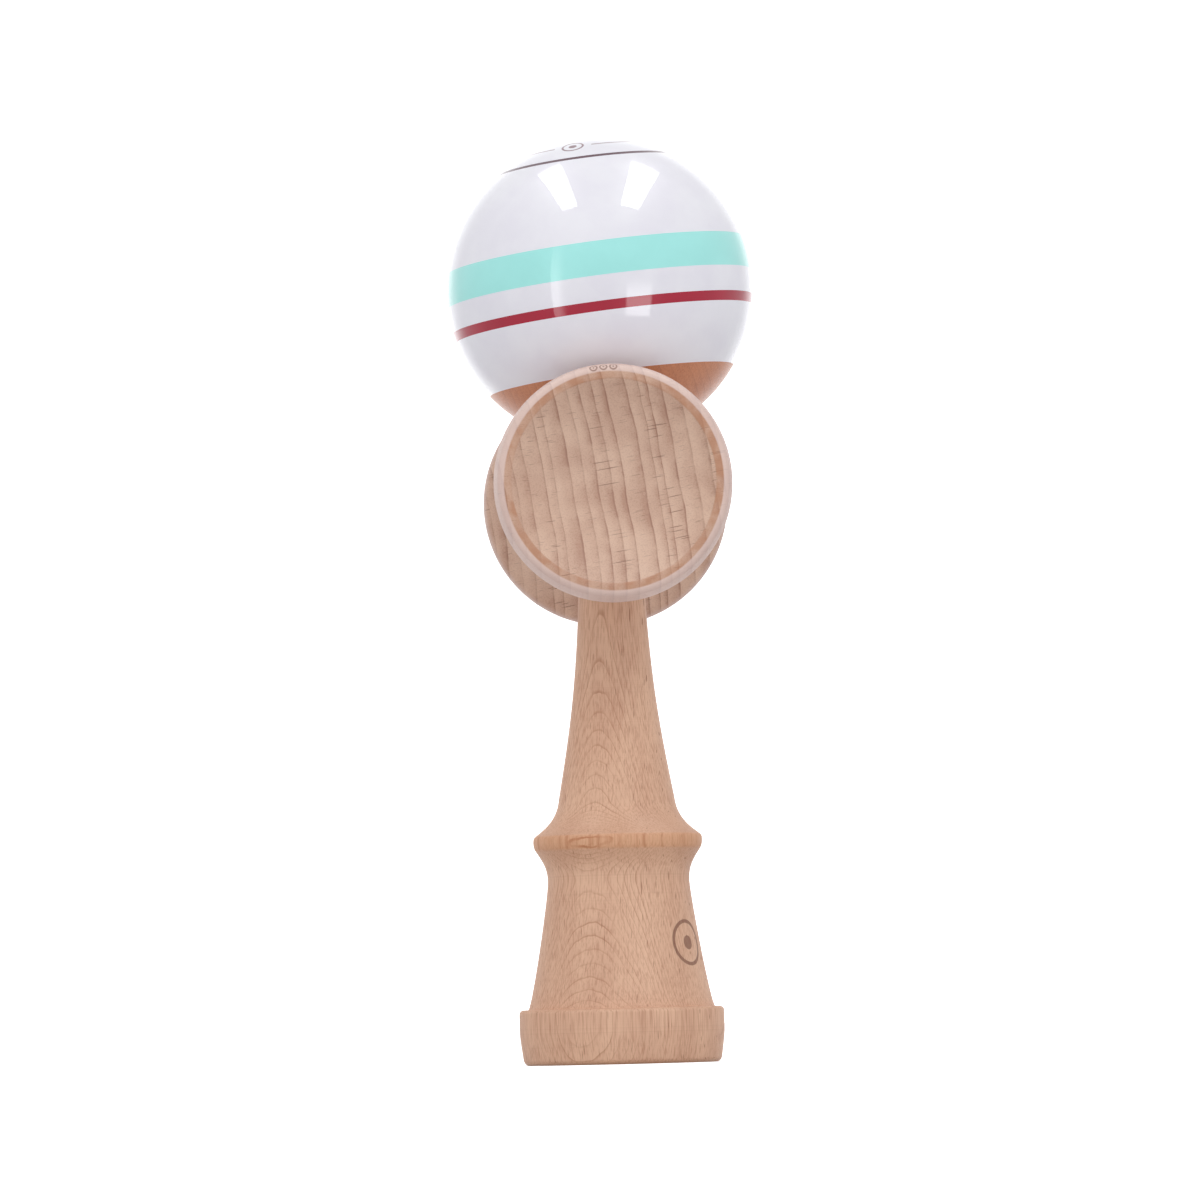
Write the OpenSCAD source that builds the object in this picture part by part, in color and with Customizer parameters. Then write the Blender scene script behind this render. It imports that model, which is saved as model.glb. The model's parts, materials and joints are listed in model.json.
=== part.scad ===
// Kendama: a wooden cup-and-ball skill toy, standing on its base cup with the ball parked on the spike.
// Origin: on the handle's axis, in the plane of the base cup's rim. +Z runs up the handle.
// The crosspiece lies along Y, with its small cup towards -Y and its big cup towards +Y.

/* [Ball] */
// Diameter of the ball
ball_d = 60; // [58:0.5:62]
// Diameter of the spike hole
bore_d = 21; // [20:0.5:22]
// Diameter of the spike hole's bevelled mouth, where it meets the round of the ball
mouth_d = 27; // [26:0.5:28]
// Depth of the mouth's bevel
bevel_depth = 2.8; // [2:0.1:4]
// Height of the spike hole's flat end above the ball's centre
bore_end = 13; // [11:0.5:18]
// Lean of the parked ball about the crosspiece's axis, away from upright
ball_lean = 6.2; // [0:0.1:8]
// Sideways shift of the parked ball's centre
ball_shift = -0.9; // [-1.5:0.05:0]
// Height of the parked ball's centre above the crosspiece's axis
ball_rise = 40; // [39.95:0.05:44]

/* [Lacquer] */
// Thickness of the lacquer coats
coat_t = 0.25; // [0.15:0.05:0.5]
// Lower edge of the lacquer, below which the ball is bare wood, measured from its centre
coat_low = -18; // [-20:0.5:-14]
// Height of the burgundy line's lower edge
line_low = -6.8; // [-10:0.1:-5]
// Height of the burgundy line
line_w = 1.9; // [0.8:0.1:2]
// Lower edge of the mint band
mint_low = 0; // [-2:0.1:4]
// Height of the mint band
mint_w = 6.7; // [4:0.1:9]
// Lower edge of the fine line near the top
fine_low = 24.1; // [20:0.1:25]
// Height of the fine line
fine_w = 0.5; // [0.3:0.1:1]

/* [Crosspiece] */
// Length from rim to rim
cross_l = 70; // [68:0.5:72]
// Height of the crosspiece's axis above the base rim
cross_z = 111.2; // [108:0.1:114]
// Diameter at the middle of the crosspiece
waist_d = 21.6; // [20:0.1:21.8]
// Widest diameter of the small cup
small_cup_d = 45.8; // [43:0.1:47]
// Widest diameter of the big cup
big_cup_d = 48.6; // [46:0.1:49]
// Distance from each cup's rim back to its widest circle
cup_band = 6.7; // [5:0.1:8]
// Radius of the round of all three cups, a little over that of the ball
dish_r = 31; // [31:0.5:33]
// Width of a cup's flat rim
rim_w = 1.2; // [1:0.1:2]

/* [Handle] */
// Widest diameter of the base cup
base_d = 39.9; // [38:0.1:42]
// Height of the base cup's band
base_h = 10.8; // [9:0.1:12]
// Diameter of the grip where it rises from the base cup
grip_d = 36.4; // [35:0.1:37]
// Diameter of the grip's narrowest place, under the slip stop
grip_waist_d = 27.6; // [26:0.1:29]
// Height of the grip's narrowest place
grip_waist_z = 35.6; // [34:0.1:37]
// Diameter of the slip-stop ring
stop_d = 33; // [31:0.1:35]
// Height of the middle of the slip-stop ring
stop_z = 43.1; // [42:0.1:44]
// Diameter of the shoulder, where the neck rises from the slip stop
shoulder_d = 22.6; // [20:0.1:24]
// Height of the shoulder
shoulder_z = 51.5; // [50:0.1:54]
// Height of the spike's tip
tip_z = 158; // [150:0.5:160]
// Diameter of the spike's rounded tip
tip_d = 4.4; // [3.5:0.1:5]

/* [Fits] */
// Diameter of the taper seat where it starts, under the crosspiece
seat_low_d = 12.4; // [12:0.1:13]
// Diameter of the taper seat where it ends, over the crosspiece
seat_high_d = 11.1; // [10.5:0.1:11.5]
// Radial clearance between the handle's taper and the crosspiece's bore
seat_gap = 0.05; // [0.01:0.01:0.1]
// Diameter of the string holes
string_d = 2.6; // [2:0.1:3]

/* [Hidden] */
$fn = 180;
beech = [0.84, 0.67, 0.53];
beech_end_grain = [0.78, 0.62, 0.52];
white = [0.94, 0.94, 0.96];
mint = [0.64, 0.90, 0.86];
burgundy = [0.62, 0.12, 0.25];

ball_r = ball_d / 2;
half_l = cross_l / 2;
seat_half = 13.2;                    // half the taper seat's height
seat_low_z = cross_z - seat_half;
seat_high_z = cross_z + seat_half;
taper = (seat_low_d - seat_high_d) / 2 / (seat_high_z - seat_low_z);
past = 1;                            // how far a cutting tool runs past the surface that it cuts
base_corner = 0.85;                  // roundover at the top of the base cup's band
base_inset = 1.7;                    // from the base cup's widest circle in to its flat rim
cup_inset = 1.95;                    // the same for the crosspiece's cups
waist_half = 2;                      // half the straight stretch at the crosspiece's middle
seam_turn = 45;                      // turns a round's seam away from the string hole
flare_steps = 18;
curve_steps = 10;
corner_steps = 5;

// The height of a round of radius r over its chord of half-width a
function height_over_chord(r, a) = sqrt(r * r - a * a);

// Points of a cubic curve, without its last one, where the next stretch starts
function bezier(p, steps) = [
    for (i = [0 : steps - 1])
        let (t = i / steps, u = 1 - t)
            u * u * u * p[0] + 3 * u * u * t * p[1] + 3 * u * t * t * p[2] + t * t * t * p[3]
];

// Points of a quarter round from one point to another, with its corner given, without the last one
function rounded(from, corner, to) = bezier(
    [from, from + 0.552 * (corner - from), to + 0.552 * (corner - to), to], corner_steps
);

// The barrel-shaped band of a cup, from its flat rim at height 0 back to its widest circle
function band(widest_r, inset, depth) = concat(
    rounded(
        [widest_r - inset, 0],
        [widest_r - 0.7, 0],
        [widest_r - 0.6, 1.2]
    ),
    bezier([
        [widest_r - 0.6, 1.2],
        [widest_r - 0.35, 1.2 + (depth - 1.2) * 0.35],
        [widest_r, 1.2 + (depth - 1.2) * 0.65],
        [widest_r, depth]
    ], corner_steps)
);

// One half of the crosspiece, as [radius, distance from the middle], from its flat rim in to its waist
function cup_half(widest_r) = let (
    edge_y = half_l - cup_band - 1.4,
    edge_r = widest_r - 0.5,
    rise = edge_r - waist_d / 2,
    flare_l = edge_y - waist_half,
    flare_r = (flare_l * flare_l + rise * rise) / (2 * rise),
    flare_angle = asin(flare_l / flare_r)
) concat(
    [for (p = band(widest_r, cup_inset, cup_band)) [p[0], half_l - p[1]]],
    bezier([
        [widest_r, half_l - cup_band],
        [widest_r, half_l - cup_band - 0.6],
        [widest_r - 0.15, edge_y + 0.35],
        [edge_r, edge_y]
    ], corner_steps),
    [
        for (i = [0 : flare_steps - 1])
            let (a = flare_angle * (1 - i / flare_steps))
                [waist_d / 2 + flare_r * (1 - cos(a)), waist_half + flare_r * sin(a)]
    ],
    [[waist_d / 2, waist_half]]
);

function crosspiece_outline() = let (
    small = cup_half(small_cup_d / 2),
    big = cup_half(big_cup_d / 2)
) concat(
    [[0, -half_l]],
    [for (p = small) [p[0], -p[1]]],
    [for (i = [len(big) - 1 : -1 : 0]) big[i]],
    [[0, half_l]]
);

// Half the handle, as [radius, height], from the base rim up to the spike's tip
function handle_outline() = let (
    base_r = base_d / 2,
    grip_r = grip_d / 2,
    grip_waist_r = grip_waist_d / 2,
    stop_r = stop_d / 2,
    stop_low_z = stop_z - 1.4,
    stop_high_z = stop_z + 1.1,
    shoulder_r = shoulder_d / 2,
    neck_l = seat_low_z - shoulder_z,
    seat_low_r = seat_low_d / 2,
    seat_high_r = seat_high_d / 2,
    tip_r = tip_d / 2,
    spike_l = tip_z - tip_r - seat_high_z
) concat(
    [[0, 0]],
    band(base_r, base_inset, base_h * 0.65),
    [[base_r, base_h * 0.65]],
    rounded([base_r, base_h - base_corner], [base_r, base_h], [base_r - base_corner, base_h]),
    [[base_r - base_corner, base_h]],
    // the grip, from the ledge to its waist
    bezier([
        [grip_r, base_h],
        [grip_r - 0.9, base_h + 1],
        [grip_waist_r, grip_waist_z - 2.8],
        [grip_waist_r, grip_waist_z]
    ], curve_steps),
    // the cove under the slip stop
    bezier([
        [grip_waist_r, grip_waist_z],
        [grip_waist_r, grip_waist_z + 2.4],
        [stop_r - 2.05, stop_low_z - 2.45],
        [stop_r - 0.4, stop_low_z]
    ], curve_steps),
    // the slip stop's rounded edge
    bezier([
        [stop_r - 0.4, stop_low_z],
        [stop_r, stop_low_z + 0.6],
        [stop_r + 0.1, stop_high_z - 0.5],
        [stop_r - 0.2, stop_high_z]
    ], corner_steps),
    // the hollow slope over the slip stop
    bezier([
        [stop_r - 0.2, stop_high_z],
        [stop_r - 0.95, stop_high_z + 0.9],
        [shoulder_r + 0.5, stop_high_z + 2.6],
        [shoulder_r, shoulder_z]
    ], curve_steps),
    // the neck
    bezier([
        [shoulder_r, shoulder_z],
        [shoulder_r - 0.056 * neck_l, shoulder_z + 0.31 * neck_l],
        [seat_low_r + 0.02 * neck_l, seat_low_z - 0.51 * neck_l],
        [seat_low_r, seat_low_z]
    ], curve_steps),
    [[seat_low_r, seat_low_z]],
    // the spike
    bezier([
        [seat_high_r, seat_high_z],
        [seat_high_r - 0.012 * spike_l, seat_high_z + 0.45 * spike_l],
        [tip_r + 0.03 * spike_l, tip_z - tip_r - 0.25 * spike_l],
        [tip_r, tip_z - tip_r]
    ], curve_steps),
    rounded([tip_r, tip_z - tip_r], [tip_r, tip_z], [0, tip_z]),
    [[0, tip_z]]
);

// Puts the ball, modelled about its own centre with its mouth down, where it is parked on the spike
module park_ball() {
    translate([ball_shift, 0, cross_z + ball_rise])
        rotate([0, -ball_lean, 0])
            children();
}

// A ball for hollowing a cup whose flat rim is at height 0 and whose edge has radius edge_r
module dish_cutter(edge_r) {
    translate([0, 0, -height_over_chord(dish_r, edge_r)]) sphere(dish_r);
}

// A level slice of space about the ball's centre
module slice(low, high) {
    translate([-ball_d, -ball_d, low]) cube([2 * ball_d, 2 * ball_d, high - low]);
}

module string_hole() {
    cylinder(h = ball_d, d = string_d);
}

// The string hole that runs across the crosspiece and the handle
module cross_hole() {
    translate([0, 0, cross_z])
        rotate([0, 90, 0])
            rotate(seam_turn)
                cylinder(h = 2 * base_d, d = string_d, center = true);
}

// One zone of the lacquer, between two heights on the ball
module coat(low, high) {
    park_ball() difference() {
        intersection() {
            sphere(ball_r);
            slice(low, high);
        }
        sphere(ball_r - coat_t);
        string_hole();
    }
}

module ken() {
    color(beech) difference() {
        rotate(seam_turn) rotate_extrude() polygon(handle_outline());
        dish_cutter(base_d / 2 - base_inset - rim_w);
        cross_hole();
    }
}

module sarado() {
    bore_low_r = seat_low_d / 2 + seat_gap + past * taper;
    bore_high_r = seat_high_d / 2 + seat_gap - past * taper;
    color(beech_end_grain) difference() {
        translate([0, 0, cross_z])
            rotate([-90, seam_turn, 0])
                rotate_extrude()
                    polygon(crosspiece_outline());
        translate([0, -half_l, cross_z]) rotate([-90, 0, 0]) dish_cutter(small_cup_d / 2 - cup_inset - rim_w);
        translate([0, half_l, cross_z]) rotate([90, 0, 0]) dish_cutter(big_cup_d / 2 - cup_inset - rim_w);
        translate([0, 0, seat_low_z - past])
            rotate(seam_turn)
                cylinder(h = seat_high_z - seat_low_z + 2 * past, r1 = bore_low_r, r2 = bore_high_r);
        cross_hole();
    }
}

module tama_core() {
    mouth_z = -height_over_chord(ball_r, mouth_d / 2);
    bevel_end_z = mouth_z + bevel_depth;
    bevel_slope = (mouth_d - bore_d) / 2 / bevel_depth;
    bevel_h = bevel_end_z + ball_r + past;
    color(beech) park_ball() difference() {
        sphere(ball_r);
        difference() {
            slice(coat_low, ball_d);
            sphere(ball_r - coat_t);
        }
        translate([0, 0, bevel_end_z - bevel_h])
            cylinder(h = bevel_h, r1 = bore_d / 2 + bevel_h * bevel_slope, d2 = bore_d);
        translate([0, 0, -ball_d]) cylinder(h = ball_d + bore_end, d = bore_d);
        string_hole();
    }
}

module lacquer_lower_white() {
    color(white) coat(coat_low, line_low);
}

module lacquer_burgundy_line() {
    color(burgundy) coat(line_low, line_low + line_w);
}

module lacquer_middle_white() {
    color(white) coat(line_low + line_w, mint_low);
}

module lacquer_mint_band() {
    color(mint) coat(mint_low, mint_low + mint_w);
}

module lacquer_upper_white() {
    color(white) coat(mint_low + mint_w, fine_low);
}

module lacquer_fine_line() {
    color(burgundy) coat(fine_low, fine_low + fine_w);
}

module lacquer_cap_white() {
    color(white) coat(fine_low + fine_w, ball_d);
}

ken();
sarado();
tama_core();
lacquer_lower_white();
lacquer_burgundy_line();
lacquer_middle_white();
lacquer_mint_band();
lacquer_upper_white();
lacquer_fine_line();
lacquer_cap_white();
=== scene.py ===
"""Kendama: its looks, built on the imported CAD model.

Every turned part is spun again with a finer, smoother mesh on the CAD model's own outline,
and gets its beech or lacquer here. Outlines are in millimetres and the scene is in metres:
MM turns one into the other.
"""
import json
import math

import bpy
from mathutils import Matrix, Vector


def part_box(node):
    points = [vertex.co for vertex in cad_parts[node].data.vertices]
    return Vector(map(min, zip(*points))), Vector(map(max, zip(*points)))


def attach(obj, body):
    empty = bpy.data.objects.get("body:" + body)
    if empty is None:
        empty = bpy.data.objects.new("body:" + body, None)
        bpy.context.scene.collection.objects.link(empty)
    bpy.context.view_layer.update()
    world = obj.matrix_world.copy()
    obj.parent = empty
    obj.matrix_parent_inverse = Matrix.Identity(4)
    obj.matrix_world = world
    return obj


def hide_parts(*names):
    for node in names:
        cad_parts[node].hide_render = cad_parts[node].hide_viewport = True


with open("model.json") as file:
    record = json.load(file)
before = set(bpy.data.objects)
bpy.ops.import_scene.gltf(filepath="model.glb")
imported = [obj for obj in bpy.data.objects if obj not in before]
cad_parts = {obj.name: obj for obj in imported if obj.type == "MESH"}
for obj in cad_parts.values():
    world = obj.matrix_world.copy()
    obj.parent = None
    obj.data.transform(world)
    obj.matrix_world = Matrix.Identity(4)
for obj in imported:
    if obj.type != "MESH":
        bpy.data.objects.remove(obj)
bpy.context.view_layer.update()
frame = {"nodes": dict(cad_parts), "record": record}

MM = 0.001
scene = bpy.context.scene

# ---------------------------------------------------------------- sizes from the frame

ken_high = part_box("ken")[1]
BASE_R = ken_high.x / MM
TIP_Z = ken_high.z / MM

cross_low, cross_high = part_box("sarado")
HALF_L = cross_high.y / MM
CROSS_Z = (cross_low.z + cross_high.z) / 2 / MM
BIG_CUP_R = (cross_high.z - cross_low.z) / 2 / MM

BALL_NODES = frame["record"]["behaviour"]["bodies"]["ball"]
COATS = [node for node in BALL_NODES if node.startswith("lacquer_")]
ball_hole = next(m for m in frame["record"]["mounts"] if m["name"] == "ball_string_hole")
BALL_AXIS = Vector(ball_hole["axis"]).normalized()
STRING_R = ball_hole["dims"]["r_mm"]
ball_low = Vector(map(min, *(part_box(node)[0] for node in BALL_NODES)))
ball_high = Vector(map(max, *(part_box(node)[1] for node in BALL_NODES)))
BALL_R = (ball_high.y - ball_low.y) / 2 / MM
BALL_CENTRE = Vector(((ball_low.x + ball_high.x) / 2, 0, ball_high.z - BALL_R * MM))
# turns the ball's own upright space into its parked place
LEAN = Vector((0, 0, 1)).rotation_difference(BALL_AXIS).to_matrix().to_4x4()
PARKED = Matrix.Translation(BALL_CENTRE) @ LEAN


def span(node):
    """A CAD node's lowest and highest height along the ball's axis, from its centre, in mm."""
    heights = [(v.co - BALL_CENTRE).dot(BALL_AXIS) / MM for v in frame["nodes"][node].data.vertices]
    return min(heights), max(heights)


# ---------------------------------------------------------------- the turned outlines, in mm

SEGMENTS = 256                   # round the turned parts
DISH_R = 31                      # the round of the three cups
RIM_W = 1.2                      # a cup's flat rim
SMALL_CUP_R = 22.9
CUP_INSET = 1.95                 # from the crosspiece cups' widest circles in to their flat rims
CUP_BAND = 6.7                   # from a rim back to the cup's widest circle
WAIST_R = 10.8
WAIST_HALF = 2                   # half the straight stretch at the crosspiece's middle
BASE_INSET = 1.7
BASE_H = 10.8
SEAT_LOW_R, SEAT_HIGH_R = 6.2, 5.55
SEAT_HALF = 13.2                 # half the height of the taper that the crosspiece sits on
SEAT_GAP = 0.05
GRIP_R, GRIP_WAIST_R, GRIP_WAIST_Z = 18.2, 13.8, 35.6
STOP_R, STOP_LOW_Z, STOP_HIGH_Z = 16.5, 41.7, 44.2
SHOULDER_R, SHOULDER_Z = 11.3, 51.5
TIP_R = 2.2
COAT_T = 0.25
BORE_R, BORE_END, MOUTH_R, BEVEL_DEPTH = 10.5, 13, 13.5, 2.8
EDGE = 0.18                      # radius of the sanded edges


def cubic(a, b, c, d, steps=24):
    """Points of a cubic curve, without its last one, where the next stretch starts."""
    points = []
    for i in range(steps):
        t = i / steps
        u = 1 - t
        weights = (u * u * u, 3 * u * u * t, 3 * u * t * t, t * t * t)
        points.append(tuple(sum(w * p[k] for w, p in zip(weights, (a, b, c, d))) for k in (0, 1)))
    return points


def rounded(start, corner, end, steps=8):
    """A quarter round from start to end, whose corner is given, without its last point."""
    pull = 0.552
    near = [s + pull * (c - s) for s, c in zip(start, corner)]
    far = [e + pull * (c - e) for e, c in zip(end, corner)]
    return cubic(start, near, far, end, steps)


def dish(edge_r, steps=40):
    """A cup's hollow from its middle out to its softened edge. Its flat rim is at height 0, and
    it dips upwards."""
    rest = math.sqrt(DISH_R ** 2 - edge_r ** 2)
    reach = math.asin((edge_r - EDGE) / DISH_R)
    points = [
        (DISH_R * math.sin(reach * i / steps), DISH_R * math.cos(reach * i / steps) - rest)
        for i in range(steps + 1)
    ]
    return points[:-1] + rounded(points[-1], (edge_r, 0), (edge_r + EDGE, 0), 5)


def band(widest_r, inset, depth):
    """The barrel-shaped wall of a cup, from its flat rim at height 0 back to its widest circle."""
    corner_r, corner_h = widest_r - 0.6, 1.2
    rest = depth - corner_h
    return (
        rounded((widest_r - inset, 0), (widest_r - 0.7, 0), (corner_r, corner_h))
        + cubic(
            (corner_r, corner_h), (widest_r - 0.35, corner_h + rest * 0.35),
            (widest_r, corner_h + rest * 0.65), (widest_r, depth), 12,
        )
    )


def handle_outline():
    """The handle as (radius, height), from the middle of the base cup's hollow out, up and in to
    the tip."""
    seat_low_z, seat_high_z = CROSS_Z - SEAT_HALF, CROSS_Z + SEAT_HALF
    neck = seat_low_z - SHOULDER_Z
    spike = TIP_Z - TIP_R - seat_high_z
    corner = 0.85
    base_widest_z = BASE_H * 0.65
    return (
        dish(BASE_R - BASE_INSET - RIM_W)
        + band(BASE_R, BASE_INSET, base_widest_z)
        + [(BASE_R, base_widest_z)]
        + rounded((BASE_R, BASE_H - corner), (BASE_R, BASE_H), (BASE_R - corner, BASE_H))
        + [(BASE_R - corner, BASE_H)]
        + cubic(
            (GRIP_R, BASE_H), (GRIP_R - 0.9, BASE_H + 1),
            (GRIP_WAIST_R, GRIP_WAIST_Z - 2.8), (GRIP_WAIST_R, GRIP_WAIST_Z), 48,
        )
        + cubic(
            (GRIP_WAIST_R, GRIP_WAIST_Z), (GRIP_WAIST_R, GRIP_WAIST_Z + 2.4),
            (STOP_R - 2.05, STOP_LOW_Z - 2.45), (STOP_R - 0.4, STOP_LOW_Z),
        )
        + cubic(
            (STOP_R - 0.4, STOP_LOW_Z), (STOP_R, STOP_LOW_Z + 0.6),
            (STOP_R + 0.1, STOP_HIGH_Z - 0.5), (STOP_R - 0.2, STOP_HIGH_Z), 12,
        )
        + cubic(
            (STOP_R - 0.2, STOP_HIGH_Z), (STOP_R - 0.95, STOP_HIGH_Z + 0.9),
            (SHOULDER_R + 0.5, STOP_HIGH_Z + 2.6), (SHOULDER_R, SHOULDER_Z),
        )
        + cubic(
            (SHOULDER_R, SHOULDER_Z), (SHOULDER_R - 0.056 * neck, SHOULDER_Z + 0.31 * neck),
            (SEAT_LOW_R + 0.02 * neck, seat_low_z - 0.51 * neck), (SEAT_LOW_R, seat_low_z), 60,
        )
        + [(SEAT_LOW_R, seat_low_z)]
        + cubic(
            (SEAT_HIGH_R, seat_high_z), (SEAT_HIGH_R - 0.012 * spike, seat_high_z + 0.45 * spike),
            (TIP_R + 0.03 * spike, TIP_Z - TIP_R - 0.25 * spike), (TIP_R, TIP_Z - TIP_R), 40,
        )
        + rounded((TIP_R, TIP_Z - TIP_R), (TIP_R, TIP_Z), (0, TIP_Z), 12)
        + [(0, TIP_Z)]
    )


def cup_half(widest_r):
    """Half the crosspiece as (radius, distance from the rim's plane), from its dish's middle to
    its waist."""
    edge_r = widest_r - 0.5
    edge = CUP_BAND + 1.4
    flare = HALF_L - edge - WAIST_HALF
    rise = edge_r - WAIST_R
    flare_r = (flare ** 2 + rise ** 2) / (2 * rise)
    reach = math.asin(flare / flare_r)
    steps = 48
    return (
        dish(widest_r - CUP_INSET - RIM_W)
        + band(widest_r, CUP_INSET, CUP_BAND)
        + cubic(
            (widest_r, CUP_BAND), (widest_r, CUP_BAND + 0.6),
            (widest_r - 0.15, edge - 0.35), (edge_r, edge), 8,
        )
        + [
            (
                WAIST_R + flare_r * (1 - math.cos(reach * (1 - i / steps))),
                HALF_L - WAIST_HALF - flare_r * math.sin(reach * (1 - i / steps)),
            )
            for i in range(steps + 1)
        ]
    )


def crosspiece_outline():
    """The crosspiece as (radius, distance from its middle), from the small cup's dish to the big
    cup's."""
    small = [(r, d - HALF_L) for r, d in cup_half(SMALL_CUP_R)]
    big = [(r, HALF_L - d) for r, d in cup_half(BIG_CUP_R)]
    return small + big[::-1]


def ball_arc(r, low, high, step=1.2):
    """Points up the ball's round of radius r between two heights, both ends included."""
    start, end = math.asin(low / r), math.asin(high / r)
    steps = max(1, math.ceil(math.degrees(end - start) / step))
    angles = [start + (end - start) * i / steps for i in range(steps + 1)]
    return [(r * math.cos(a), r * math.sin(a)) for a in angles]


def core_outline():
    """The bare ball as a closed loop: its round, the string hole, the spike hole and the bevelled
    mouth."""
    mouth_z = -math.sqrt(BALL_R ** 2 - MOUTH_R ** 2)
    coat_low = span(COATS[0])[0]
    under = BALL_R - COAT_T
    return (
        ball_arc(BALL_R, mouth_z, coat_low)
        + ball_arc(under, coat_low, math.sqrt(under ** 2 - STRING_R ** 2))
        + [(STRING_R, BORE_END), (BORE_R, BORE_END), (BORE_R, mouth_z + BEVEL_DEPTH)]
    )


def coat_outline(node):
    """One lacquer zone as a closed loop: its outside from low to high, and its inside back down."""
    low, high = span(node)
    outer_high = min(high, math.sqrt(BALL_R ** 2 - STRING_R ** 2))
    under = BALL_R - COAT_T
    inner_high = min(high, math.sqrt(under ** 2 - STRING_R ** 2))
    return ball_arc(BALL_R, low, outer_high) + ball_arc(under, low, inner_high)[::-1]


# ---------------------------------------------------------------- meshes


def spin(name, outline, place=Matrix.Identity(4), loop=False):
    """Turns an outline about Z into one closed, smooth mesh, in metres, and puts it in its place."""
    rings, points, faces = [], [], []
    for r, z in outline:
        if r < 1e-6:
            rings.append([len(points)] * SEGMENTS)
            points.append((0, 0, z * MM))
        else:
            rings.append(list(range(len(points), len(points) + SEGMENTS)))
            for k in range(SEGMENTS):
                a = 2 * math.pi * k / SEGMENTS
                points.append((r * math.cos(a) * MM, r * math.sin(a) * MM, z * MM))
    pairs = list(zip(rings, rings[1:] + rings[:1])) if loop else list(zip(rings, rings[1:]))
    for lower, upper in pairs:
        for k in range(SEGMENTS):
            n = (k + 1) % SEGMENTS
            face = []
            for corner in (lower[k], lower[n], upper[n], upper[k]):
                if corner not in face:
                    face.append(corner)
            faces.append(face)
    mesh = bpy.data.meshes.new(name)
    mesh.from_pydata(points, [], faces)
    mesh.transform(place)
    mesh.update()
    obj = bpy.data.objects.new(name, mesh)
    scene.collection.objects.link(obj)
    return obj


def cut(obj, tool):
    """Takes the tool's shape out of obj, and removes the tool."""
    step = obj.modifiers.new("cut", "BOOLEAN")
    step.operation = "DIFFERENCE"
    step.solver = "EXACT"
    step.object = tool
    bpy.context.view_layer.update()
    whole = obj.data
    obj.data = bpy.data.meshes.new_from_object(obj.evaluated_get(bpy.context.evaluated_depsgraph_get()))
    obj.modifiers.clear()
    bpy.data.meshes.remove(whole)
    bpy.data.objects.remove(tool)


def rod(low_r, high_r, low, high, place=Matrix.Identity(4)):
    """A round tool for cutting, from one height to another along Z, in mm."""
    return spin("tool", [(0, low), (low_r, low), (high_r, high), (0, high)], place)


def finish_piece(obj, body, node, material):
    """Smooths a piece, gives it its material, says which body it rides on, and hides the CAD node that it
    stands for.
    """
    mesh = obj.data
    mesh.name = obj.name
    mesh.polygons.foreach_set("use_smooth", [True] * len(mesh.polygons))
    mesh.set_sharp_from_angle(angle=math.radians(32))
    mesh.materials.clear()
    mesh.materials.append(material)
    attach(obj, body)
    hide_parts(node)


# ---------------------------------------------------------------- material nodes


def srgb(red, green, blue):
    """A colour given in 0 to 255 steps, as Blender's linear RGBA."""
    def linear(c):
        c /= 255
        return c / 12.92 if c <= 0.04045 else ((c + 0.055) / 1.055) ** 2.4
    return (linear(red), linear(green), linear(blue), 1.0)


class Nodes:
    """Builds one node tree. Each method adds a node and returns its output socket."""

    def __init__(self, tree):
        self.tree = tree
        tree.nodes.clear()

    def add(self, kind, inputs, output=0, **settings):
        node = self.tree.nodes.new(kind)
        for key, value in settings.items():
            setattr(node, key, value)
        for key, value in inputs.items():
            if isinstance(value, bpy.types.NodeSocket):
                self.tree.links.new(value, node.inputs[key])
            else:
                node.inputs[key].default_value = value
        return node.outputs[output]

    def output(self, kind, surface):
        self.tree.links.new(surface, self.tree.nodes.new(kind).inputs["Surface"])

    def math(self, operation, *values, clamp=False):
        return self.add("ShaderNodeMath", dict(enumerate(values)), operation=operation, use_clamp=clamp)

    def vector(self, operation, *values):
        output = "Value" if operation in ("DOT_PRODUCT", "LENGTH", "DISTANCE") else "Vector"
        return self.add("ShaderNodeVectorMath", dict(enumerate(values)), output, operation=operation)

    def combine(self, x, y, z):
        return self.add("ShaderNodeCombineXYZ", {0: x, 1: y, 2: z})

    def stretched(self, values, widths):
        """Three values as one vector, each divided by its width."""
        return self.combine(*(self.math("DIVIDE", value, width) for value, width in zip(values, widths)))

    def ramp(self, value, low, high, out_low=0.0, out_high=1.0):
        """A smooth step of value between low and high."""
        inputs = {
            "Value": value, "From Min": low, "From Max": high, "To Min": out_low, "To Max": out_high,
        }
        return self.add("ShaderNodeMapRange", inputs, interpolation_type="SMOOTHSTEP")

    def noise(self, vector, scale=1.0, detail=2.0, roughness=0.5):
        inputs = {"Vector": vector, "Scale": scale, "Detail": detail, "Roughness": roughness}
        return self.add("ShaderNodeTexNoise", inputs, "Fac")

    def noise_along(self, value, scale=1.0, detail=2.0):
        inputs = {"W": value, "Scale": scale, "Detail": detail}
        return self.add("ShaderNodeTexNoise", inputs, "Fac", noise_dimensions="1D")

    def cells(self, vector, output="Distance"):
        return self.add("ShaderNodeTexVoronoi", {"Vector": vector, "Scale": 1.0}, output)

    def pick(self, value):
        """A steady random number for each whole value."""
        return self.add("ShaderNodeTexWhiteNoise", {"W": value}, "Value", noise_dimensions="1D")

    def blend(self, factor, first, second, mode="MIX"):
        inputs = {"Factor": factor, 6: first, 7: second}
        return self.add("ShaderNodeMix", inputs, 2, data_type="RGBA", blend_type=mode)


def new_material(name):
    material = bpy.data.materials.new(name)
    material.use_nodes = True
    return material, Nodes(material.node_tree)


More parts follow.
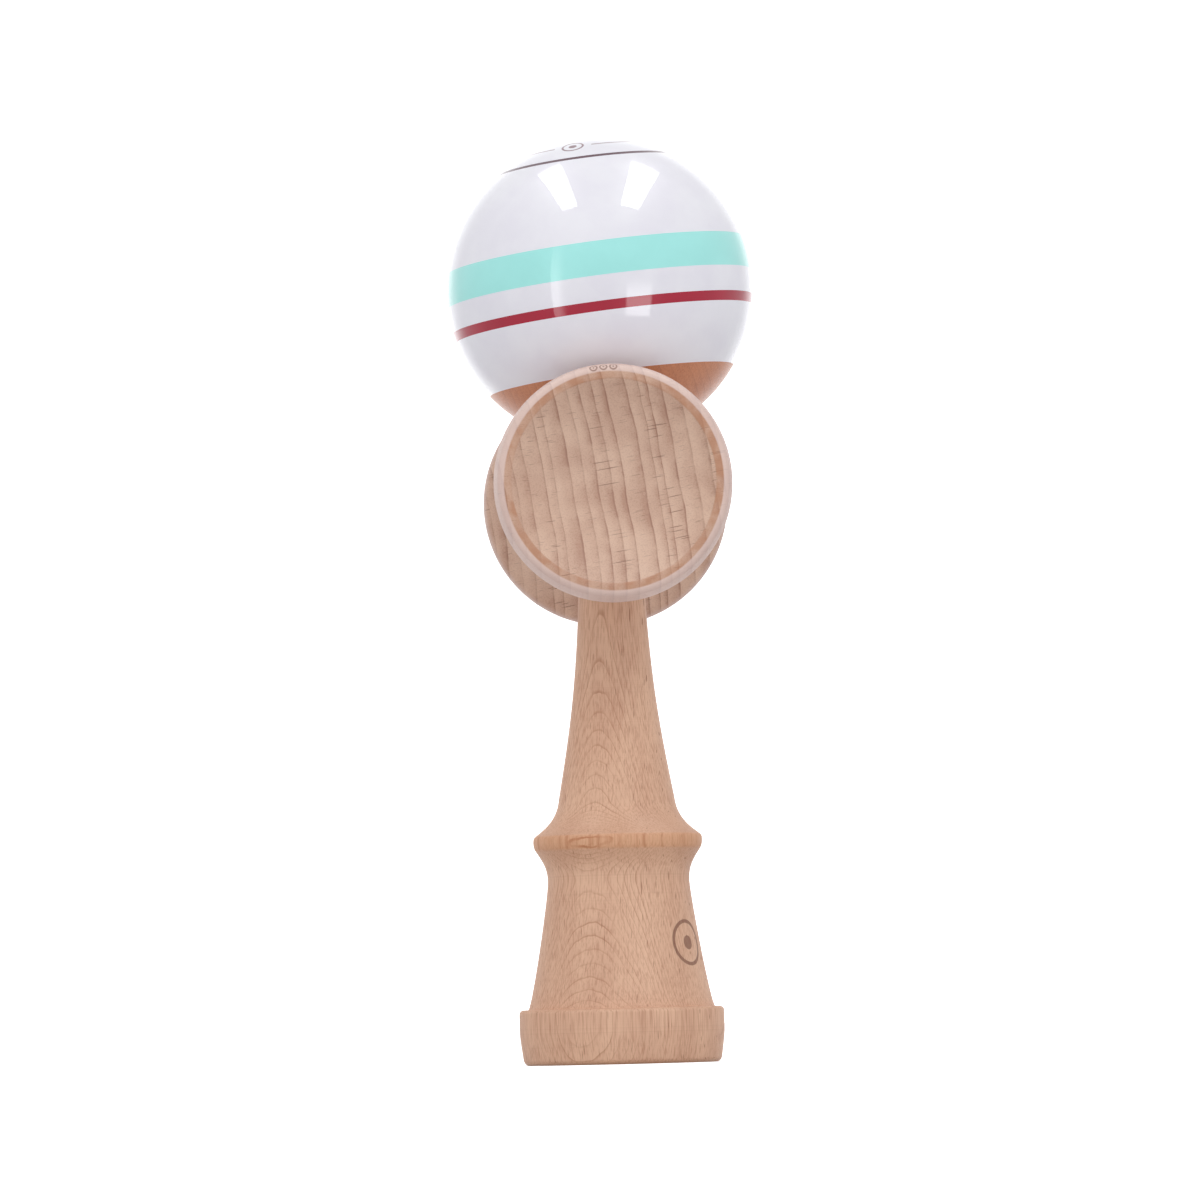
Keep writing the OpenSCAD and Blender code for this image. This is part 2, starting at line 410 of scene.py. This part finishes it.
def shade(n, colour, roughness, normal, **sockets):
    """Ends a material with one principled shader; each socket is named with _ for its spaces."""
    inputs = {"Base Color": colour, "Roughness": roughness, "Normal": normal}
    inputs.update({key.replace("_", " "): value for key, value in sockets.items()})
    n.output("ShaderNodeOutputMaterial", n.add("ShaderNodeBsdfPrincipled", inputs, "BSDF"))


def mark_mask(n, place, centre, ring_r=4.2, ring_w=0.7, dot_r=1.5):
    """The plain ring-and-dot mark about a point of the surface, as a mask. Lengths in mm."""
    distance = n.vector("DISTANCE", place, centre)
    off_ring = n.math("ABSOLUTE", n.math("SUBTRACT", distance, ring_r))
    ring = n.ramp(off_ring, ring_w / 2 - 0.08, ring_w / 2 + 0.08, 1.0, 0.0)
    dot = n.ramp(distance, dot_r - 0.08, dot_r + 0.08, 1.0, 0.0)
    return n.math("MAXIMUM", ring, dot)


def ray_leaves(n, out, around, along, step, fill, share):
    """Rays as thin leaves standing along the radius: a mask. step is their spacing in mm along
    the radius, round the tree and along the fibres, fill the part of it that the largest fills,
    and share how many places hold one."""
    space = n.stretched((out, around, along), step)
    chance = n.add("ShaderNodeSeparateColor", {0: n.cells(space, "Color")}, 0)
    reach = n.ramp(chance, 1 - share, 1.0, 0.001, fill)
    inside = n.math("SUBTRACT", 1.0, n.math("DIVIDE", n.cells(space), reach))
    return n.ramp(inside, 0.0, 0.4)


def surface_place(n):
    """The surface point in mm, in the scene's frame, and the coordinates node that it came from."""
    coordinates = n.tree.nodes.new("ShaderNodeTexCoord")
    inputs = {0: coordinates.outputs["Object"], "Scale": 1 / MM}
    return n.add("ShaderNodeVectorMath", inputs, operation="SCALE"), coordinates


def beech(
    name, fibre, radial, origin, pith, year_w, colours, rays, figure, rough=0.6, extra=None, **sockets
):
    """Beech wood, as one field in space, so that every cut through it shows the right figure.

    fibre and radial are directions, origin is a point inside the piece, pith is how far the
    tree's middle lies from it and year_w is a year's width, in mm. colours are the pale wood, the
    dark wood, the growth line and the rays. rays lists the settings of ray_leaves with the
    darkness of each. figure is the strength of the growth lines, of the darker late wood before
    them and of the vessels. extra adds to the colour and the height.
    """
    pale, dark, line, fleck = colours
    material, n = new_material(name)
    place, coordinates = surface_place(n)
    inside = n.vector("SUBTRACT", place, tuple(origin))
    across = Vector(fibre).cross(Vector(radial))
    out, around, along = (n.vector("DOT_PRODUCT", inside, tuple(d)) for d in (radial, across, fibre))

    # the years: rings about the pith, a little wavy, each with its own strength
    slow = n.stretched((out, around, along), (14, 12, 45))
    from_pith = n.vector("LENGTH", n.combine(n.math("ADD", out, pith), around, 0.0))
    depth = n.math("MULTIPLY_ADD", n.noise(slow, 1.0, 1.0), 1.3, from_pith)
    depth = n.math("MULTIPLY_ADD", n.noise(slow, 6.0, 1.0), 0.2, depth)
    years = n.math("MULTIPLY_ADD", n.noise_along(depth, 0.17, 1.0), 1.2, n.math("DIVIDE", depth, year_w))
    season = n.math("FRACT", years)
    patchy = n.ramp(n.noise(slow, 4.0, 2.0), 0.35, 0.65, 0.45, 1.0)
    own_strength = n.math("MULTIPLY_ADD", n.pick(n.math("FLOOR", years)), 0.65, 0.35)
    strength = n.math("MULTIPLY", own_strength, patchy)
    cut_back = n.math("MULTIPLY", n.ramp(season, 0.96, 1.0, 1.0, 0.0), strength)
    year_line = n.math("MULTIPLY", n.ramp(season, 0.8, 0.95), cut_back)
    late_tone = n.math("MULTIPLY", n.ramp(season, 0.2, 0.95), cut_back)
    line_part, late_part, vessel_part = figure

    # fine vessels, long along the fibres and dots across them
    pores = n.noise(n.stretched((out, around, along), (0.28, 0.28, 6)), 1.0, 2.0, 0.6)
    vessels = n.ramp(pores, 0.42, 0.7)
    cloud = n.ramp(n.noise(slow, 1.7, 2.0), 0.3, 0.7)

    tone = n.math("MULTIPLY_ADD", late_tone, late_part, n.math("MULTIPLY", cloud, 0.4))
    tone = n.math("MULTIPLY_ADD", vessels, vessel_part, tone, clamp=True)
    colour = n.blend(tone, pale, dark)
    colour = n.blend(n.math("MULTIPLY", year_line, line_part), colour, line)
    height = n.math("MULTIPLY_ADD", year_line, 0.25, n.math("MULTIPLY", pores, -0.6))
    for step, fill, share, darkness in rays:
        leaves = ray_leaves(n, out, around, along, step, fill, share)
        colour = n.blend(n.math("MULTIPLY", leaves, darkness), colour, fleck)
        height = n.math("MULTIPLY_ADD", leaves, -0.4, height)
    if extra:
        colour, height = extra(n, place, coordinates.outputs["Normal"], colour, height)
    normal = n.add("ShaderNodeBump", {"Strength": 0.35, "Distance": 0.00012, "Height": height}, "Normal")
    roughness = n.ramp(pores, 0.2, 0.8, rough - 0.06, rough + 0.08)
    shade(n, colour, roughness, normal, **sockets)
    return material


def lacquer(name, colour, shadow, extra=None):
    """High-gloss lacquer: faint clouds in its colour, and the slight orange peel that bends its
    highlights."""
    material, n = new_material(name)
    place = surface_place(n)[0]
    clouds = n.noise(place, 0.12, 3.0)
    tint = n.blend(n.ramp(clouds, 0.3, 0.7), colour, shadow)
    if extra:
        tint = extra(n, place, tint)
    peel = n.noise(place, 0.35, 2.0)
    normal = n.add("ShaderNodeBump", {"Strength": 0.12, "Distance": 0.00002, "Height": peel}, "Normal")
    roughness = n.ramp(clouds, 0.2, 0.8, 0.3, 0.36)
    shade(
        n, tint, roughness, normal,
        Specular_IOR_Level=0.15,
        Coat_Weight=1.0, Coat_Roughness=0.035, Coat_IOR=1.45, Coat_Normal=normal,
    )
    return material


# ---------------------------------------------------------------- materials

FRONT = math.radians(-22)        # where the handle's years face, left of the view
TILT = math.radians(9)           # lean of the years across the crosspiece
ENGRAVING = srgb(120, 72, 50)
ENGRAVED = -3.0                  # how far down the marks are burnt, for the bump
THIN_LINE_H = 27.15              # height of the ball's thinnest line over its centre


def polar(r, angle, z):
    """A point at radius r and height z, at an angle from the viewer's side towards +X, in mm."""
    return (r * math.sin(angle), -r * math.cos(angle), z)


def burn(n, mark, strength, colour, height):
    """Burns a mark into the colour and the height."""
    colour = n.blend(n.math("MULTIPLY", mark, strength), colour, ENGRAVING)
    return colour, n.math("ADD", height, n.math("MULTIPLY", mark, ENGRAVED))


def warm_stop_ring(n, place, z, colour):
    """The warmer wood of the stop ring. One year shows as an oval where the ring bulges into it,
    with stripes beside it."""
    from_below = n.ramp(z, STOP_LOW_Z - 0.4, STOP_LOW_Z + 0.3)
    stop = n.math("MULTIPLY", from_below, n.ramp(z, STOP_HIGH_Z, STOP_HIGH_Z + 0.4, 1, 0))
    colour = n.blend(n.math("MULTIPLY", stop, 0.45), colour, srgb(216, 152, 102))
    middle = polar(STOP_R, FRONT, (STOP_LOW_Z + STOP_HIGH_Z) / 2)
    from_middle = n.vector("SUBTRACT", place, middle)
    sideways = n.vector("DOT_PRODUCT", from_middle, (math.cos(FRONT), math.sin(FRONT), 0))
    rise = n.vector("DOT_PRODUCT", from_middle, (0, 0, 1))
    oval = n.vector("LENGTH", n.stretched((sideways, rise, 0.0), (4.0, 0.95, 1.0)))
    oval = n.math("MULTIPLY_ADD", n.noise(place, 0.45, 2.0), 1.2, oval)
    off_oval = n.math("ABSOLUTE", n.math("SUBTRACT", oval, 1.6))
    patchy = n.ramp(n.noise(place, 0.3, 1.0), 0.35, 0.6, 0.25, 0.75)
    oval_line = n.math("MULTIPLY", n.ramp(off_oval, 0.08, 0.3, 1.0, 0.0), patchy)
    stripes = n.ramp(n.noise_along(sideways, 0.75, 2.0), 0.5, 0.7)
    warm = n.math("MAXIMUM", oval_line, n.math("MULTIPLY", stripes, 0.5))
    return n.blend(n.math("MULTIPLY", stop, warm), colour, srgb(178, 106, 62))


def handle_extra(n, place, normal, colour, height):
    """Faint turning marks, darker wood where the fibres end, the stop ring's warm wood and the
    burnt mark on the grip."""
    z = n.add("ShaderNodeSeparateXYZ", {0: place}, "Z")
    turning = n.noise_along(z, 2.2, 3.0)
    height = n.math("ADD", height, n.math("MULTIPLY", turning, 0.5))
    colour = n.blend(n.ramp(turning, 0.6, 0.8, 0.0, 0.08), colour, srgb(150, 100, 75))
    ends = n.math("ABSOLUTE", n.vector("DOT_PRODUCT", normal, (0, 0, 1)))
    colour = n.blend(n.ramp(ends, 0.15, 1.0, 0.0, 0.55), colour, srgb(196, 146, 112))
    colour = warm_stop_ring(n, place, z, colour)
    mark = mark_mask(n, place, polar(15.7, math.radians(56), 23.2), dot_r=1.4)
    return burn(n, mark, 0.75, colour, height)


def crosspiece_extra(n, place, _normal, colour, height):
    """Cup walls painted paler and pinker, partly their side grain and partly a painted sheen; flat
    rims painted darker, a painted shade; and three small burnt marks on the small cup's rounded corner."""
    split = n.add("ShaderNodeSeparateXYZ", {0: place}, "Y").node
    x, y, z = (split.outputs[axis] for axis in "XYZ")
    radius = n.vector("LENGTH", n.combine(x, 0.0, n.math("SUBTRACT", z, CROSS_Z)))
    to_rim = n.math("SUBTRACT", HALF_L, n.math("ABSOLUTE", y))
    far_side = n.math("GREATER_THAN", y, 0.0)
    flat_r = n.math("MULTIPLY_ADD", far_side, BIG_CUP_R - SMALL_CUP_R, SMALL_CUP_R - CUP_INSET)
    past_flat = n.math("SUBTRACT", radius, flat_r)
    outside = n.ramp(past_flat, -0.15, 0.2)
    inside = n.ramp(past_flat, -0.15, 0.2, 1.0, 0.0)
    # the cup walls painted paler and pinker: partly their paler side grain, partly a painted sheen
    walls = n.math("MULTIPLY", outside, n.ramp(to_rim, CUP_BAND + 0.8, CUP_BAND + 1.8, 1.0, 0.0))
    colour = n.blend(n.math("MULTIPLY", walls, 0.7), colour, srgb(230, 204, 196))
    # the flat rims painted darker and browner, in patches: a painted shade
    rim = n.math("MULTIPLY", n.ramp(to_rim, 0.02, 0.3, 1.0, 0.0), inside)
    rim = n.math("MULTIPLY", rim, n.ramp(n.noise(place, 0.3), 0.35, 0.65, 0.3, 0.8))
    colour = n.blend(rim, colour, srgb(186, 128, 94))
    mark = 0.0
    for mark_x in (-3.4, -1.5, 0.4):
        rise = math.sqrt((SMALL_CUP_R - 1.0) ** 2 - mark_x * mark_x)
        centre = (mark_x, 0.4 - HALF_L, CROSS_Z + rise)
        mark = n.math("MAXIMUM", mark, mark_mask(n, place, centre, 0.66, 0.3, 0.2))
    return burn(n, mark, 0.7, colour, height)


def cap_extra(n, place, tint):
    """The thinnest line round the top of the ball, broken by the plain printed mark."""
    off_centre = n.vector("SUBTRACT", place, tuple(BALL_CENTRE / MM))
    level = n.vector("DOT_PRODUCT", off_centre, tuple(BALL_AXIS))
    off_line = n.math("ABSOLUTE", n.math("SUBTRACT", level, THIN_LINE_H))
    line = n.ramp(off_line, 0.08, 0.16, 0.8, 0.0)
    line_r = math.sqrt(BALL_R ** 2 - THIN_LINE_H ** 2)
    own = Vector(polar(line_r, math.radians(-9), THIN_LINE_H)) * MM
    centre = tuple((PARKED @ own) / MM)
    clear = n.ramp(n.vector("DISTANCE", place, centre), 3.6, 3.7)
    mark = mark_mask(n, place, centre, 2.0, 0.4, 0.8)
    print_mask = n.math("MAXIMUM", n.math("MULTIPLY", line, clear), mark)
    return n.blend(n.math("MULTIPLY", print_mask, 0.9), tint, srgb(110, 50, 62))


HANDLE_WOOD = beech(
    "beech_handle",
    fibre=(0, 0, 1), radial=(math.sin(FRONT), -math.cos(FRONT), 0),
    origin=(0, 0, 0), pith=74, year_w=0.5,
    colours=(srgb(232, 189, 158), srgb(201, 152, 124), srgb(178, 122, 91), srgb(154, 100, 73)),
    rays=[((2.2, 0.6, 9), 0.2, 0.5, 0.68), ((1.5, 0.34, 5), 0.24, 0.9, 0.62)],
    figure=(0.75, 0.25, 0.65), extra=handle_extra,
)
CROSS_WOOD = beech(
    "beech_crosspiece",
    fibre=(0, 1, 0), radial=(math.cos(TILT), 0, math.sin(TILT)),
    origin=(0, 0, CROSS_Z), pith=190, year_w=2.6,
    colours=(srgb(226, 193, 170), srgb(189, 148, 127), srgb(148, 105, 86), srgb(127, 90, 74)),
    rays=[((11, 0.42, 3.2), 0.26, 0.6, 0.65), ((5, 0.24, 2.4), 0.28, 0.9, 0.4)],
    figure=(0.65, 0.75, 0.3), extra=crosspiece_extra,
)
BALL_WOOD = beech(
    "beech_ball",
    fibre=tuple(BALL_AXIS), radial=tuple(PARKED.to_3x3() @ Vector((1, 0, 0))),
    origin=tuple(BALL_CENTRE / MM), pith=60, year_w=1.6,
    colours=(srgb(212, 138, 94), srgb(190, 116, 76), srgb(164, 98, 64), srgb(140, 82, 54)),
    rays=[((5, 0.6, 7), 0.2, 0.4, 0.4)],
    figure=(0.4, 0.4, 0.5), rough=0.45, Coat_Weight=0.3, Coat_Roughness=0.15,
)
WHITE = lacquer("lacquer_white", srgb(243, 242, 248), srgb(238, 236, 244))
WHITE_CAP = lacquer("lacquer_white_cap", srgb(243, 242, 248), srgb(238, 236, 244), cap_extra)
MINT = lacquer("lacquer_mint", srgb(172, 244, 238), srgb(168, 240, 234))
BURGUNDY = lacquer("lacquer_burgundy", srgb(178, 8, 50), srgb(170, 6, 46))
FINE_LINE = lacquer("lacquer_fine_line", srgb(92, 52, 68), srgb(84, 46, 62))

# ---------------------------------------------------------------- the handle

string_way = Matrix.Translation((0, 0, CROSS_Z * MM)) @ Matrix.Rotation(math.radians(90), 4, "Y")


def make_handle():
    handle = spin("handle", handle_outline())
    cut(handle, rod(STRING_R, STRING_R, -BASE_R, BASE_R, string_way))
    finish_piece(handle, "handle", "ken", HANDLE_WOOD)


# ---------------------------------------------------------------- the crosspiece


def make_crosspiece():
    lay_down = Matrix.Translation((0, 0, CROSS_Z * MM)) @ Matrix.Rotation(math.radians(-90), 4, "X")
    crosspiece = spin("crosspiece", crosspiece_outline(), lay_down)
    taper = (SEAT_LOW_R - SEAT_HIGH_R) / 2 / SEAT_HALF
    past = 1
    low_r = SEAT_LOW_R + SEAT_GAP + past * taper
    high_r = SEAT_HIGH_R + SEAT_GAP - past * taper
    cut(crosspiece, rod(low_r, high_r, CROSS_Z - SEAT_HALF - past, CROSS_Z + SEAT_HALF + past))
    cut(crosspiece, rod(STRING_R, STRING_R, -BASE_R, BASE_R, string_way))
    finish_piece(crosspiece, "crosspiece", "sarado", CROSS_WOOD)


# ---------------------------------------------------------------- the ball


# a word in a coat's node name, the slot of that coat and its material
COAT_LOOKS = (
    ("burgundy", "lacquer_burgundy", BURGUNDY),
    ("fine", "lacquer_burgundy", FINE_LINE),
    ("mint", "lacquer_mint", MINT),
    ("cap", "lacquer_white", WHITE_CAP),
    ("white", "lacquer_white", WHITE),
)


def make_ball():
    core = spin("ball", core_outline(), PARKED, loop=True)
    finish_piece(core, "ball", "tama_core", BALL_WOOD)
    for node in COATS:
        coat = spin(node.replace("lacquer", "coat"), coat_outline(node), PARKED, loop=True)
        slot, material = next(look[1:] for look in COAT_LOOKS if look[0] in node)
        finish_piece(coat, "ball", node, material)


make_handle()
make_crosspiece()
make_ball()

# ---------------------------------------------------------------- floor, light and camera


def make_floor():
    """The white table. The camera sees it overexposed, and the object gets the softer light that
    it bounces."""
    material, n = new_material("floor_white")
    coordinates = n.tree.nodes.new("ShaderNodeTexCoord")
    mottle = n.noise(coordinates.outputs["Object"], 3.0)
    seen = n.add("ShaderNodeLightPath", {}, "Is Camera Ray")
    grey = n.blend(mottle, (0.65, 0.65, 0.66, 1), (0.63, 0.63, 0.64, 1))
    colour = n.blend(seen, grey, (1.6, 1.6, 1.6, 1))
    normal = n.add("ShaderNodeBump", {"Strength": 0.02, "Height": mottle}, "Normal")
    shade(n, colour, 0.8, normal)
    bpy.ops.mesh.primitive_circle_add(vertices=96, radius=4.0, fill_type="NGON")
    floor = bpy.context.object
    floor.name = "floor"
    floor.data.materials.append(material)
    floor.visible_glossy = False


def softbox(name, centre, aim, size, shine, fill, fade=(0.0, 0.0), side_fade=(0.0, 0.0)):
    """A rectangular softbox. shine is its radiance in reflections and fill its radiance on matt
    surfaces. Each has a light of its own, in the same place. fade and side_fade are how much of
    its length and width dims at each edge."""
    for role, radiance in (("shine", shine), ("fill", fill)):
        if radiance == 0:
            continue
        data = bpy.data.lights.new(f"{name}_{role}", "AREA")
        data.shape = "RECTANGLE"
        data.size, data.size_y = size
        data.energy = radiance * math.pi * size[0] * size[1]
        light = bpy.data.objects.new(data.name, data)
        scene.collection.objects.link(light)
        light.location = centre
        light.rotation_euler = (Vector(aim) - Vector(centre)).to_track_quat("-Z", "Y").to_euler()
        light.visible_camera = False
        light.visible_glossy = role == "shine"
        light.visible_diffuse = role == "fill"
        data.use_nodes = True
        n = Nodes(data.node_tree)
        split = n.add("ShaderNodeSeparateXYZ", {0: n.add("ShaderNodeNewGeometry", {}, "Parametric")}).node
        strength = 1.0
        for axis, (low, high) in (("Y", fade), ("X", side_fade)):
            across = split.outputs[axis]
            strength = n.math("MULTIPLY", strength, n.ramp(across, 0.0, low + 0.001))
            strength = n.math("MULTIPLY", strength, n.ramp(across, 0.999 - high, 1.0, 1.0, 0.0))
        n.output("ShaderNodeOutputLight", n.add("ShaderNodeEmission", {"Strength": strength}, "Emission"))


def make_lights():
    """A white tent, two long softboxes nearly overhead, a broad one over the camera, and two that
    only gleam."""
    over = BALL_CENTRE.z + 0.9
    for name, x, wide in (("over_left", -0.335, 0.19), ("over_right", 0.36, 0.23)):
        softbox(name, (x, -0.045, over), (x, -0.045, 0), (wide, 0.91), 12, 1.7, fade=(0.0, 0.2))
    softbox("front", (0, -0.9, 0.75), (0, 0, 0.1), (0.9, 0.5), 0, 1.35)
    # a tall dim one left of the camera, and a small one low on its right, by the ball
    for name, turn, distance, rise, size, shine, fade, side_fade in (
        ("left", -31, 0.35, 0.052, (0.07, 0.4), 3.5, (0.0, 0.8), (0.0, 0.7)),
        ("right", 27, 0.3, -0.055, (0.11, 0.17), 4.5, (0.1, 0.6), (0.1, 0.1)),
    ):
        away = Vector(polar(distance, math.radians(turn), 0))
        centre = BALL_CENTRE + away + Vector((0, 0, rise))
        softbox(name, centre, centre - away, size, shine, 0, fade, side_fade)
    scene.world = bpy.data.worlds.new("tent")
    scene.world.use_nodes = True
    n = Nodes(scene.world.node_tree)
    seen = n.add("ShaderNodeLightPath", {}, "Is Camera Ray")
    direction = n.add("ShaderNodeTexCoord", {}, "Generated")
    split = n.add("ShaderNodeSeparateXYZ", {0: direction}).node
    glow = n.ramp(split.outputs["Y"], 0.65, 1.0, 0.79, 1.7)
    glow = n.math("MAXIMUM", glow, n.math("MULTIPLY", seen, 1.2))
    inputs = {"Color": (0.98, 0.985, 1.0, 1.0), "Strength": glow}
    n.output("ShaderNodeOutputWorld", n.add("ShaderNodeBackground", inputs, "Background"))


def make_camera():
    """A long lens just over the table, turned a little off the crosspiece's axis, looking slightly up."""
    distance, height = 1.425, 0.010
    turn, pitch, roll = math.radians(1.6), math.radians(3.23), math.radians(1.39)
    aim_off = 0.0023
    data = bpy.data.cameras.new("camera")
    data.sensor_width = 36
    data.lens = 219.3
    camera = bpy.data.objects.new("camera", data)
    scene.collection.objects.link(camera)
    yaw = turn - aim_off / distance
    ahead = Vector((math.sin(yaw) * math.cos(pitch), math.cos(yaw) * math.cos(pitch), math.sin(pitch)))
    right = ahead.cross(Vector((0, 0, 1))).normalized()
    up = right.cross(ahead)
    tilted_up = up * math.cos(roll) + right * math.sin(roll)
    tilted_right = right * math.cos(roll) - up * math.sin(roll)
    turned = Matrix((tilted_right, tilted_up, -ahead)).transposed()
    place = Matrix.Translation((-distance * math.sin(turn), -distance * math.cos(turn), height))
    camera.matrix_world = place @ turned.to_4x4()
    scene.camera = camera


make_floor()
make_lights()
make_camera()
scene.view_settings.view_transform = "Standard"
scene.view_settings.look = "None"
